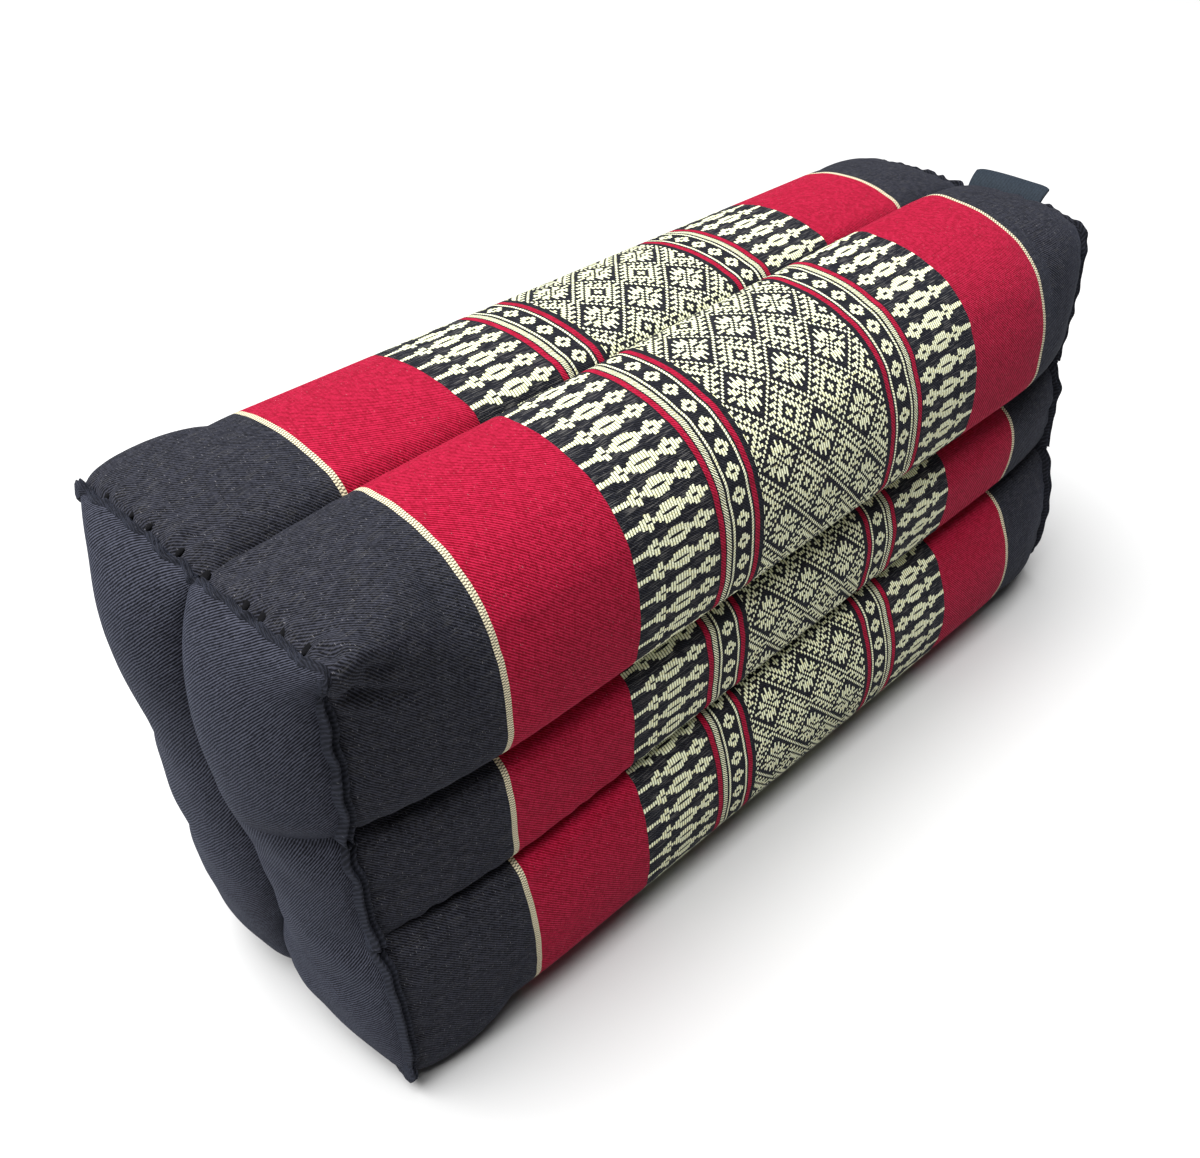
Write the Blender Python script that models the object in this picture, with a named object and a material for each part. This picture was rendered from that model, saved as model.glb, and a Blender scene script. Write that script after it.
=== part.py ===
# A block-shaped meditation cushion of patterned cotton, stuffed into chambers.
# It stands on a narrow face: two chambers wide, three high, sewn channels between
# them along its whole length. X runs along the cushion, Z is up, and the origin is
# under its middle, on the surface that it stands on. All sizes are in metres.
# The wrap cloth with its filling is one solid. At each end a black panel closes it,
# with the turned seam allowance standing proud all round and pulled out at the
# corners. A blank folded tab is sewn into the far top seam.
import math
from collections import namedtuple

import bmesh
import bpy

# Driving dimensions
seam_length = 0.350
mid_height = 0.0857
bulge_reach = 0.0607
bulge_reach_left = 0.0460
channel_reach = 0.0640
cleft_depth = 0.0030
cleft_width = 0.0030
bulge_power = 0.67
foot_reach = 0.0210
corner_reach = 0.0350
near_corner_power = 5.0
far_corner_power = 3.2
flare_near_right = 0.0102
flare_near_left = 0.0117
flare_far = 0.0020
flare_reach = 0.0315
flare_spread = 0.35
piece_gap = 0.0003

# Half of a cross-section, from the top channel round to the bottom one. y is the
# distance from the middle plane and z the height above mid-height. The seam
# columns give the outline at the two end seams, the near and far ones the full
# bulge towards the near end and the far end. A knot of kind rise or fall starts a
# chamber's bow away from a channel or back to one; corner turns by a power.
Knot = namedtuple("Knot", "name near_seam_y far_seam_y seam_z near_y far_y near_z far_z kind power")
foot_z = -mid_height
right_knots = [
    Knot("top_channel", 0.0, 0.0, 0.0772, 0.0, 0.0, 0.0803, 0.0803, "rise", 0),
    Knot("crown", 0.0153, 0.0153, 0.0786, 0.0153, 0.0153, 0.0847, 0.0915, "corner", 2.25),
    Knot("side", 0.0483, 0.0530, 0.0411, 0.0583, 0.0672, 0.0411, 0.0411, "fall", 0),
    Knot("upper_channel", 0.0434, 0.0510, 0.0187, 0.0535, 0.0530, 0.0187, 0.0187, "rise", 0),
    Knot("middle", 0.0470, 0.0560, 0.0000, 0.0567, 0.0645, 0.0000, 0.0000, "fall", 0),
    Knot("lower_channel", 0.0495, 0.0560, -0.0209, 0.0570, 0.0565, -0.0209, -0.0209, "rise", 0),
    Knot("low_side", 0.0557, 0.0640, -0.0560, 0.0628, 0.0739, -0.0560, -0.0560, "corner", 2.30),
    Knot("foot_out", 0.0360, 0.0400, -0.0792, 0.0360, 0.0400, foot_z, foot_z, "straight", 0),
    Knot("foot_in", 0.0110, 0.0110, -0.0792, 0.0110, 0.0110, foot_z, foot_z, "fall", 0),
    Knot("bottom_channel", 0.0, 0.0, -0.0775, 0.0, 0.0, -0.0805, -0.0805, "end", 0),
]
left_knots = [
    Knot("top_channel", 0.0, 0.0, 0.0772, 0.0, 0.0, 0.0803, 0.0803, "rise", 0),
    Knot("crown", 0.0305, 0.0250, 0.0792, 0.0305, 0.0250, 0.0868, 0.0880, "corner", 2.58),
    Knot("side", 0.0470, 0.0500, 0.0421, 0.0695, 0.0610, 0.0421, 0.0421, "fall", 0),
    Knot("upper_channel", 0.0420, 0.0460, 0.0187, 0.0545, 0.0525, 0.0187, 0.0187, "rise", 0),
    Knot("middle", 0.0420, 0.0520, 0.0000, 0.0620, 0.0600, 0.0000, 0.0000, "fall", 0),
    Knot("lower_channel", 0.0400, 0.0510, -0.0209, 0.0560, 0.0555, -0.0209, -0.0209, "rise", 0),
    Knot("low_side", 0.0420, 0.0600, -0.0560, 0.0729, 0.0680, -0.0560, -0.0560, "corner", 2.30),
    Knot("foot_out", 0.0300, 0.0400, -0.0792, 0.0360, 0.0400, foot_z, foot_z, "straight", 0),
    Knot("foot_in", 0.0110, 0.0110, -0.0792, 0.0110, 0.0110, foot_z, foot_z, "fall", 0),
    Knot("bottom_channel", 0.0, 0.0, -0.0775, 0.0, 0.0, -0.0805, -0.0805, "end", 0),
]
channel_names = ("top_channel", "upper_channel", "lower_channel", "bottom_channel")
foot_names = ("foot_out", "foot_in")
# Shares of the way to the next knot at which points are set, close at a channel
run_shares = {
    "rise": (0.0, 0.06, 0.18, 0.42, 0.70),
    "fall": (0.0, 0.30, 0.58, 0.82, 0.94),
    "corner": (0.0, 0.14, 0.28, 0.42, 0.56, 0.70, 0.84),
    "straight": (0.0,),
}

# Distances from a seam at which cross-sections are set, and how many more lie
# between the last ones of the two ends
end_stations = [0.0, 0.002, 0.005, 0.009, 0.014, 0.021, 0.030, 0.041, 0.053, 0.066]
middle_stations = 8

# The end panels: two crowns beside a valley. The table gives how far each stands
# out at a share of the height, -1 at the bottom seam and 1 at the top one. The
# shares place the grid of an end panel's face, across it and up it.
Crown = namedtuple("Crown", "up left right valley")
near_crowns = [
    Crown(-1.0, 0.0135, 0.0110, 0.0050),
    Crown(-0.3, 0.0112, 0.0145, 0.0050),
    Crown(0.2, 0.0115, 0.0155, 0.0050),
    Crown(0.6, 0.0150, 0.0155, 0.0050),
    Crown(1.0, 0.0175, 0.0145, 0.0050),
]
far_crowns = [
    Crown(-1.0, 0.0120, 0.0120, 0.0050),
    Crown(1.0, 0.0160, 0.0170, 0.0050),
]
panel_lobe_power = 2.2
panel_edge_power = 0.55
panel_top_power = 5.0
panel_foot_power = 2.0
panel_rim = 0.0024
panel_edge = 0.965
across_shares = (0.0, 0.05, 0.13, 0.25, 0.42, 0.60, 0.78, 0.91, 0.98, 1.0)
up_shares = (0.0, 0.16, 0.32, 0.48, 0.62, 0.75, 0.86, 0.94, 0.985, 1.0)

# The turned seam allowance, and the tips at its corners
ridge_side = 0.0022
ridge_flat = 0.0010
ridge_side_from = 0.0060
ridge_side_run = 0.0100
ridge_loops = ((0.80, 0.8), (0.35, 1.0), (0.0, 0.0))
ear_spread = 0.0060
Ear = namedtuple("Ear", "end y z out")
ears = [
    Ear(-1, 0.0580, 0.0780, 0.0075),
    Ear(-1, -0.0570, 0.0780, 0.0030),
    Ear(-1, -0.0530, -0.0780, 0.0040),
    Ear(-1, 0.0400, -0.0770, 0.0025),
    Ear(1, 0.0520, 0.0780, 0.0020),
    Ear(1, -0.0550, 0.0760, 0.0010),
    Ear(1, -0.0640, -0.0760, 0.0020),
    Ear(1, 0.0580, -0.0760, 0.0020),
]
seam_half_height = 0.0792

# The tab
tab_width = 0.0318
tab_height = 0.0088
tab_thickness = 0.0012
tab_middle_y = -0.0190
tab_foot = 0.0803
tab_lean = math.radians(60)
tab_steps = 4
tab_foot_share = 0.94
tab_first_lean = 0.4
tab_top_share = 0.8
tab_depth = 0.55
sharp_angle = math.radians(40)


def mix(a, b, share):
    return a + (b - a) * share


def fullness(distance, reach):
    """Share of the full bulge at a distance from the nearest end seam."""
    left = 1 - min(distance / reach, 1)
    return (1 - left * left) ** bulge_power


def knot_place(knot, along, distance, reach):
    """A knot's (y, z) at a share of the length and a distance from the seam."""
    y = mix(knot.near_y, knot.far_y, along)
    z = mix(knot.near_z, knot.far_z, along)
    if knot.name in channel_names:
        share = fullness(distance, channel_reach)
    elif knot.name in foot_names:
        share = min(distance / foot_reach, 1) ** 0.5
    else:
        share = fullness(distance, reach)
    seam_y = mix(knot.near_seam_y, knot.far_seam_y, round(along))
    return mix(seam_y, y, share), mix(knot.seam_z, z, share)


def corner_place(start, end, knot, share, distance, seam_power, flare):
    """A point of a rounded corner, with the flare that a seam corner's tip pulls out."""
    power = mix(seam_power, knot.power, min(distance / corner_reach, 1))
    angle = share * math.pi / 2
    fast = math.sin(angle) ** (2 / power)
    slow = 1 - math.cos(angle) ** (2 / power)
    if knot.name == "low_side":
        return mix(start[0], end[0], slow), mix(start[1], end[1], fast)
    off_middle = (angle - math.pi / 4) / flare_spread
    out = flare * max(0.0, 1 - distance / flare_reach) ** 2 * math.exp(-off_middle * off_middle)
    return mix(start[0], end[0], fast) + out, mix(start[1], end[1], slow)


def bow_place(start, end, knot, share, depth):
    """A point of a chamber's bow, sunk into the narrow cleft of the channel beside it."""
    bow = {"rise": 1 - (1 - share) ** 2, "fall": share * share, "straight": share}[knot.kind]
    run = math.dist(start, end)
    from_channel = {"rise": share * run, "fall": (1 - share) * run, "straight": run}[knot.kind]
    sunk = depth * math.exp(-from_channel / cleft_width)
    if abs(end[1] - start[1]) > abs(end[0] - start[0]):
        return mix(start[0], end[0], bow) - sunk, mix(start[1], end[1], share)
    upward = 1 if start[1] > 0 else -1
    return mix(start[0], end[0], share), mix(start[1], end[1], bow) - sunk * upward


def half_section(knots, along, distance, reach, flare):
    """Points (y, z) of one half of the cross-section, top channel first."""
    points = []
    depth = cleft_depth * fullness(distance, channel_reach)
    seam_power = mix(near_corner_power, far_corner_power, round(along))
    for knot, following in zip(knots, knots[1:]):
        start = knot_place(knot, along, distance, reach)
        end = knot_place(following, along, distance, reach)
        for share in run_shares[knot.kind]:
            if knot.kind == "corner":
                points.append(corner_place(start, end, knot, share, distance, seam_power, flare))
            else:
                points.append(bow_place(start, end, knot, share, depth))
    last = knot_place(knots[-1], along, distance, reach)
    points.append((last[0], last[1] + depth))
    return points


def section(along, distance):
    """The closed cross-section: right half downwards, then left half upwards."""
    far = round(along)
    flares = [mix(near, flare_far, far) for near in (flare_near_right, flare_near_left)]
    right = half_section(right_knots, along, distance, bulge_reach, flares[0])
    left = half_section(left_knots, along, distance, bulge_reach_left, flares[1])
    ring = [(-y, mid_height + z) for y, z in right]
    ring += [(y, mid_height + z) for y, z in reversed(left[1:-1])]
    return ring


def material(name, colour, roughness):
    """A cloth material with one base colour."""
    made = bpy.data.materials.new(name)
    made.use_nodes = True
    shader = made.node_tree.nodes["Principled BSDF"]
    shader.inputs["Base Color"].default_value = (*colour, 1)
    shader.inputs["Roughness"].default_value = roughness
    shader.inputs["Metallic"].default_value = 0.0
    return made


def finish(name, shape, cloth):
    """The object of a finished shape, faces out and shaded smooth."""
    bmesh.ops.recalc_face_normals(shape, faces=shape.faces)
    mesh = bpy.data.meshes.new(name)
    shape.to_mesh(mesh)
    shape.free()
    mesh.shade_smooth()
    mesh.set_sharp_from_angle(angle=sharp_angle)
    mesh.materials.append(cloth)
    made = bpy.data.objects.new(name, mesh)
    bpy.context.scene.collection.objects.link(made)
    return made


def solid(name, rings, first_centre, last_centre, cloth):
    """A closed solid through a row of rings, each end closed by a fan."""
    shape = bmesh.new()
    rows = [[shape.verts.new(point) for point in ring] for ring in rings]
    count = len(rows[0])
    for row, following in zip(rows, rows[1:]):
        for k in range(count):
            n = (k + 1) % count
            shape.faces.new((row[k], row[n], following[n], following[k]))
    first = shape.verts.new(first_centre)
    last = shape.verts.new(last_centre)
    for k in range(count):
        n = (k + 1) % count
        shape.faces.new((first, rows[0][n], rows[0][k]))
        shape.faces.new((last, rows[-1][k], rows[-1][n]))
    return finish(name, shape, cloth)


def make_body(cloth):
    """The wrap cloth with its filling, from one end seam to the other."""
    half = seam_length / 2 - piece_gap / 2
    last = end_stations[-1]
    between = [last + (seam_length - 2 * last) * (k + 1) / (middle_stations + 1) for k in range(middle_stations)]
    distances = end_stations + between + [seam_length - d for d in reversed(end_stations)]
    rings = []
    for d in distances:
        x = max(-half, min(half, d - seam_length / 2))
        ring = section(d / seam_length, min(d, seam_length - d))
        rings.append([(x, y, z) for y, z in ring])
    return solid("cushion_body", rings, (-half, 0, mid_height), (half, 0, mid_height), cloth)


def ridge_at(end, y, z):
    """How far the turned seam allowance stands out of the seam at (y, z)."""
    on_side = min(1.0, max(0.0, (seam_half_height - ridge_side_from - abs(z)) / ridge_side_run))
    out = mix(ridge_flat, ridge_side, on_side)
    for ear in ears:
        if ear.end == end:
            away = math.hypot(y - ear.y, z - ear.z) / ear_spread
            out += ear.out * math.exp(-away * away)
    return out


def crossing(line, level, axis):
    """The furthest value of the other axis where a chain of points crosses a level."""
    found = [0.0]
    for one, two in zip(line, line[1:]):
        low, high = sorted((one[axis], two[axis]))
        if low <= level <= high and high > low:
            found.append(mix(one[1 - axis], two[1 - axis], (level - one[axis]) / (two[axis] - one[axis])))
    return max(found, key=abs)


def crown_at(crowns, up, column):
    """A column of a table of crowns at a share of the height."""
    for low, high in zip(crowns, crowns[1:]):
        if up <= high.up:
            break
    return mix(getattr(low, column), getattr(high, column), (up - low.up) / (high.up - low.up))


def panel_height(crowns, across, up):
    """How far an end panel's face stands out, across and up being 0 at its middle and 1 at its seam."""
    lobe = max(0.0, 1 - abs(2 * abs(across) - 1) ** panel_lobe_power) ** panel_edge_power
    end_power = panel_top_power if up > 0 else panel_foot_power
    fade = (1 - min(1.0, abs(up)) ** end_power) ** panel_edge_power
    valley = crown_at(crowns, up, "valley")
    crown = crown_at(crowns, up, "right" if across < 0 else "left")
    return ((crown - valley / 2) * lobe + valley * (1 - abs(across))) * fade


def panel_face(end):
    """Rows of (height, y, z) over an end panel, bottom row first, each from right to left."""
    far = 0.0 if end < 0 else 1.0
    crowns = near_crowns if end < 0 else far_crowns
    halves = []
    for side, knots in ((-1, right_knots), (1, left_knots)):
        flare = mix(flare_near_right if side < 0 else flare_near_left, flare_far, far)
        halves.append([(side * y, z) for y, z in half_section(knots, far, 0.0, bulge_reach, flare)])
    ups = [-up for up in reversed(up_shares)] + list(up_shares[1:])
    acrosses = [-a for a in reversed(across_shares)] + list(across_shares[1:])
    rows = []
    for up in ups:
        row = []
        for across in acrosses:
            half = halves[0] if across < 0 else halves[1]
            level = max(-panel_edge, min(panel_edge, up)) * seam_half_height
            y = abs(across) * crossing(half, level, 1)
            middle = len(half) // 2
            edge = half[: middle + 1] if up > 0 else half[middle:]
            z = abs(up) * (crossing(edge, y, 0) or half[0][1])
            row.append((panel_height(crowns, across, up), y, z))
        rows.append(row)
    return rows


def make_panel(name, end, cloth):
    """The black panel at the end -1 or 1, with its seam allowance turned out."""
    rows = panel_face(end)
    start = seam_length / 2 + piece_gap / 2
    shape = bmesh.new()
    face = [[shape.verts.new((end * (start + panel_rim + h), y, mid_height + z)) for h, y, z in row] for row in rows]
    for low, high in zip(face, face[1:]):
        for k in range(len(low) - 1):
            shape.faces.new((low[k], low[k + 1], high[k + 1], high[k]))
    loop = face[0] + [row[-1] for row in face[1:]] + face[-1][-2::-1] + [row[0] for row in face[-2:0:-1]]
    count = len(loop)
    seam = [(vert.co.y, vert.co.z - mid_height) for vert in loop]
    for depth, share in ridge_loops:
        ring = []
        for y, z in seam:
            out = ridge_at(end, y, z) * share
            length = math.hypot(y, z)
            ring.append(shape.verts.new((end * (start + panel_rim * depth), y + out * y / length,
                                         mid_height + z + out * z / length)))
        for k in range(count):
            n = (k + 1) % count
            shape.faces.new((loop[k], loop[n], ring[n], ring[k]))
        loop = ring
    back = shape.verts.new((end * start, 0, mid_height))
    for k in range(count):
        shape.faces.new((back, loop[k], loop[(k + 1) % count]))
    return finish(name, shape, cloth)


def make_tab(cloth):
    """The blank folded tab, leaning out of the far top seam."""
    x0 = seam_length / 2 + panel_rim * tab_depth
    foot = mid_height + tab_foot
    rings = []
    for step in range(tab_steps + 1):
        t = step / tab_steps
        lean = tab_lean * mix(tab_first_lean, 1.0, t)
        x = x0 + tab_height * t * math.sin(lean)
        z = foot + tab_height * t * math.cos(lean)
        half = tab_width / 2 * mix(tab_foot_share, 1.0, t)
        thick = tab_thickness * mix(1.0, tab_top_share, t) / 2
        low, high = tab_middle_y - half, tab_middle_y + half
        rings.append([(x - thick, low, z), (x + thick, low, z), (x + thick, high, z), (x - thick, high, z)])
    top = rings[-1]
    peak = (sum(p[0] for p in top) / 4, tab_middle_y, top[0][2] + tab_thickness / 4)
    return solid("label", rings, (x0, tab_middle_y, foot), peak, cloth)


for leftover in list(bpy.data.objects):
    bpy.data.objects.remove(leftover, do_unlink=True)

make_body(material("patterned_cotton", (0.30, 0.03, 0.05), 0.85))
end_cloth = material("black_cotton", (0.022, 0.023, 0.030), 0.88)
make_panel("end_panel_near", -1, end_cloth)
make_panel("end_panel_far", 1, end_cloth)
make_tab(material("tab_ribbon", (0.015, 0.018, 0.022), 0.70))
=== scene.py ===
import math
import bmesh
import bpy
import numpy as np
from mathutils import Matrix, Vector


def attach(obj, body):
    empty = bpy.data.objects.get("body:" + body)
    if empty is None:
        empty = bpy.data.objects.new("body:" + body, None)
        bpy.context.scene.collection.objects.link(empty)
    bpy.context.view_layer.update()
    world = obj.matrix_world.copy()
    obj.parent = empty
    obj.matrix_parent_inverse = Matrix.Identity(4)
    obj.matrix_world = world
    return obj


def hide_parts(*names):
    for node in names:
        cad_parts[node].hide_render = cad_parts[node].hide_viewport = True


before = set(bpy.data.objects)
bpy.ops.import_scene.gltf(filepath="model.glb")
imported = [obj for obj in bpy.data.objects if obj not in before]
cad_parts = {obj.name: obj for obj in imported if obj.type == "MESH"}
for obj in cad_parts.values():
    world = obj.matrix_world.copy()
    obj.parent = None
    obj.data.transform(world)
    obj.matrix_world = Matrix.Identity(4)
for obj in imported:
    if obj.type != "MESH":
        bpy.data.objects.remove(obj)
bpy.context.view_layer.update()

view = {
    "place": (-0.267939, -0.226456, 0.336038),
    "right": (0.69496492, -0.71894165, -0.01211086),
    "forward": (0.56148124, 0.55312352, -0.61546177),
    "lens": 35.6154,
}
light = {
    "world": 0.045, "backdrop": 1.0,  # what lights the cushion, and what is seen behind it
    "keyPower": 700.0, "keySize": 4.4, "keyPlace": (-1.1, 0.6, 4.4),  # soft, from above the near end
    "fillPower": 0.3, "fillSize": 1.2, "fillPlace": (0.6, -1.4, 0.9),
    "aim": (0, 0, 0.08),
    "floorColour": (0.5, 0.5, 0.5), "floorRoughness": 0.9, "floorReach": 4,
}

def addObject(name, data):
    added = bpy.data.objects.new(name, data)
    bpy.context.scene.collection.objects.link(added)
    return added

def placeCamera():
    data = bpy.data.cameras.new("camera")
    data.lens = view["lens"]
    data.sensor_width = 36
    data.clip_start = 0.01
    camera = addObject("camera", data)
    right, forward = Vector(view["right"]), Vector(view["forward"])
    turn = Matrix((right, right.cross(forward), -forward)).transposed().to_4x4()
    camera.matrix_world = Matrix.Translation(view["place"]) @ turn
    bpy.context.scene.camera = camera

def areaLight(name, place, power, width):
    data = bpy.data.lights.new(name, "AREA")
    data.energy = power
    data.size = width
    lamp = addObject(name, data)
    lamp.location = place
    lamp.rotation_euler = (Vector(light["aim"]) - Vector(place)).to_track_quat("-Z", "Y").to_euler()

def placeSurround():
    # dim enough to leave the lamps their work, but pale behind the floor in low views
    world = bpy.data.worlds.new("studio")
    world.use_nodes = True
    nodes, links = world.node_tree.nodes, world.node_tree.links
    nodes["Background"].inputs["Color"].default_value = (1, 1, 1, 1)
    seen = nodes.new("ShaderNodeLightPath")
    strength = nodes.new("ShaderNodeMapRange")
    strength.inputs["To Min"].default_value = light["world"]
    strength.inputs["To Max"].default_value = light["backdrop"]
    links.new(seen.outputs["Is Camera Ray"], strength.inputs["Value"])
    links.new(strength.outputs[0], nodes["Background"].inputs["Strength"])
    bpy.context.scene.world = world

placeCamera()
areaLight("keyLight", light["keyPlace"], light["keyPower"], light["keySize"])
areaLight("fillLight", light["fillPlace"], light["fillPower"], light["fillSize"])
placeSurround()
bpy.context.scene.view_settings.view_transform = "Standard"
print("camera and light placed")

class Value:
    # a socket that takes part in sums

    def __init__(self, cloth, socket):
        self.cloth, self.socket = cloth, socket

    def math(self, operation, *others):
        return self.cloth.math(operation, self, *others)

    def __add__(self, other):
        return self.math("ADD", other)

    __radd__ = __add__

    def __sub__(self, other):
        return self.math("SUBTRACT", other)

    def __rsub__(self, other):
        return self.cloth.math("SUBTRACT", other, self)

    def __mul__(self, other):
        return self.math("MULTIPLY", other)

    __rmul__ = __mul__

    def __truediv__(self, other):
        return self.math("DIVIDE", other)

    def __rtruediv__(self, other):
        return self.cloth.math("DIVIDE", other, self)

    def __mod__(self, other):
        return self.math("FLOORED_MODULO", other)

    def __rpow__(self, other):
        return self.cloth.math("POWER", other, self)

    def __gt__(self, other):
        return self.math("GREATER_THAN", other)

    def __lt__(self, other):
        return self.math("LESS_THAN", other)

    def __abs__(self):
        return self.math("ABSOLUTE")

    def __floor__(self):
        return self.math("FLOOR")

# the bloom of short fibres is a cool one
cotton = {"Specular IOR Level": 0.1, "Sheen Roughness": 0.5, "Sheen Tint": (0.55, 0.65, 1.0, 1)}

class Cloth:
    # a material under construction

    def __init__(self, name, roughness, sheen):
        self.material = bpy.data.materials.new(name)
        self.material.use_nodes = True
        self.tree = self.material.node_tree
        self.surface = self.tree.nodes["Principled BSDF"]
        for key, value in {**cotton, "Roughness": roughness, "Sheen Weight": sheen}.items():
            self.surface.inputs[key].default_value = value

    def node(self, kind, settings=None, values=None, out=0):
        made = self.tree.nodes.new(kind)
        for key, value in (settings or {}).items():
            if key == "stops":
                self.fillRamp(made.color_ramp, value)
            else:
                setattr(made, key, value)
        for key, value in (values or {}).items():
            if isinstance(value, Value):
                self.tree.links.new(value.socket, made.inputs[key])
            else:
                made.inputs[key].default_value = value
        return Value(self, made.outputs[out])

    def fillRamp(self, ramp, stops):
        while len(ramp.elements) > 1:
            ramp.elements.remove(ramp.elements[-1])
        for n, (place, colour) in enumerate(stops):
            stop = ramp.elements[0] if n == 0 else ramp.elements.new(place)
            stop.position, stop.color = place, (*colour, 1)

    def math(self, operation, *values):
        return self.node("ShaderNodeMath", {"operation": operation}, dict(enumerate(values)))

    def colour(self, rgb):
        return tuple(channel / 12.92 if channel <= 0.04045 else ((channel + 0.055) / 1.055) ** 2.4
                     for channel in (c / 255 for c in rgb)) + (1,)

    def mix(self, low, high, share):
        low, high = (self.colour(c) if isinstance(c, tuple) else c for c in (low, high))
        return self.node("ShaderNodeMix", {"data_type": "RGBA"}, {0: share, 6: low, 7: high}, out=2)

    def step(self, value, low, high):
        return self.node("ShaderNodeMapRange", {"interpolation_type": "SMOOTHSTEP"},
                         {"Value": value, "From Min": low, "From Max": high})

    def band(self, value, low, high):
        return (value > low) * (value < high)

    def noise(self, place, scale, detail):
        return self.node("ShaderNodeTexNoise", {"noise_dimensions": "2D"},
                         {"Vector": place, "Scale": scale, "Detail": detail})

    def vector(self, x, y, z=0.0):
        return self.node("ShaderNodeCombineXYZ", None, {0: x, 1: y, 2: z})

    def chance(self, x, y):
        return self.node("ShaderNodeTexWhiteNoise", {"noise_dimensions": "2D"}, {"Vector": self.vector(x, y)})

    def chart(self, stops, place):
        # the two numbers that a chart of even steps holds at a place
        look = self.node("ShaderNodeValToRGB", {"stops": stops}, {0: place})
        look.socket.node.color_ramp.interpolation = "CONSTANT"
        parts = self.node("ShaderNodeSeparateColor", None, {0: look})
        return parts, Value(self, parts.socket.node.outputs[1])

    def finish(self, colour, height, depth, strength=1.0):
        self.tree.links.new(colour.socket, self.surface.inputs["Base Color"])
        bump = self.node("ShaderNodeBump", None, {"Strength": strength, "Distance": depth, "Height": height})
        self.tree.links.new(bump.socket, self.surface.inputs["Normal"])
        return self.material

def clothPlace(cloth):
    # the cloth's own coordinates in millimetres, along the cushion and round it
    place = cloth.node("ShaderNodeUVMap", {"uv_map": "cloth"})
    parts = cloth.node("ShaderNodeSeparateXYZ", None, {0: place})
    across = Value(cloth, parts.socket.node.outputs[1])
    return parts * 100, across * 100

loom = {
    # black and crimson are painted lit on the thread crowns; their darker pairs are the same dyes painted in
    # shade between the crowns
    "black": (52, 53, 62), "blackShaded": (10, 10, 13), "hair": (112, 110, 106), "groundShade": 0.55,
    "crimson": (175, 28, 62), "crimsonShaded": (108, 0, 20),
    # the third cream is painted shade on the float strokes, at their edges and in the gaps between neighbours
    "cream": (235, 238, 208), "creamDeep": (220, 215, 158), "creamShadedEdge": (98, 102, 72),
    "gold": (220, 210, 178), "goldDeep": (48, 44, 38), "lint": (170, 167, 168),
    # places of the bands from an end seam, in millimetres
    "middle": 175, "goldStripe": (43.2, 45.1), "redEdge": 91.2, "hairEdge": 124,
    "redLine": (124.6, 126.6), "twillLine": (127.1, 129.1), "innerRed": (139.9, 141.9), "fieldEdge": 143.9,
    "borderMiddle": 134.6, "ropeAside": 4.15, "ropeHalf": 0.42,
    "twillPitch": 1.04, "hatchPitch": 0.95, "rowPitch": 7.65, "rowPhase": 53.1,
    "stroke": 1.025, "borderStroke": 0.92,
    "columnSlots": 64, "fieldSlots": 16, "uneven": 0.3, "goldCheck": (0.95, 0.9),
    "fieldCentre": 174.3, "fieldStroke": 1.015, "fieldRow": 1.0432, "fieldPhase": 50.8,
}
# strokes across a column from the red edge inwards: how many, half their length, half the slit in them
columnRuns = ((6, 0.7, 0), (2, 1.6, 0), (2, 2.5, 0.36), (2, 0.68, 0), (2, 1.6, 0), (1, 2.65, 0.26),
              (4, 2.7, 0.42), (1, 2.65, 0.26), (2, 1.65, 0), (2, 0.68, 0), (2, 1.65, 0), (2, 2.6, 0.48),
              (2, 1.6, 0), (2, 0.62, 0))
flowerRuns = ((1, 0.78, 0), (1, 1.65, 0), (2, 2.6, 0.52), (1, 1.65, 0), (1, 0.78, 0))
# a quarter of the middle field's repeat, charted from the flower's middle out
fieldChart = (
    ".#...###..#",
    "#.###....#.",
    ".#.###..#..",
    "###.#..#.##",
    "###...#...#",
    "#.#..#.###.",
    "#...#...#.#",
    "...#.###.##",
    "..#...#.##.",
    ".#.###.##..",
    "#...#.##..#",
    ".###.##..##",
)

def strokeRuns(cloth, place, across, start, pitch, runs):
    # strokes of thread across a band
    slots = loom["columnSlots"]
    stops, done = [], 0
    for count, half, slit in runs:
        stops.append((done / slots, (half / 4, slit / 4, 0)))
        done += count
    stops.append((done / slots, (0, 0, 0)))
    along = (place - start) / pitch
    cell = math.floor(along)
    half, slit = (size * 4 for size in cloth.chart(stops, (cell + 0.5) / slots))
    row = math.floor((across - loom["rowPhase"]) / loom["rowPitch"] + 0.5)
    away = abs(across - loom["rowPhase"] - row * loom["rowPitch"])
    body = abs(along - cell - 0.5)
    reach = half + cloth.chance(cell, row) * loom["uneven"] - body * body - 0.05
    inside = (away < reach) * (away > slit) * cloth.band(along, 0, done)
    # each stroke is painted lighter in its middle and darker towards its edges: painted highlight and shade
    # for a round thread
    return inside, inside * cloth.step(body, 0.44, 0.24)

def rowNumbers(rows, scale):
    # each row's stitches as the bits of a number
    return [sum(2 ** column for column, mark in enumerate(row) if mark) / scale for row in rows]

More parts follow.
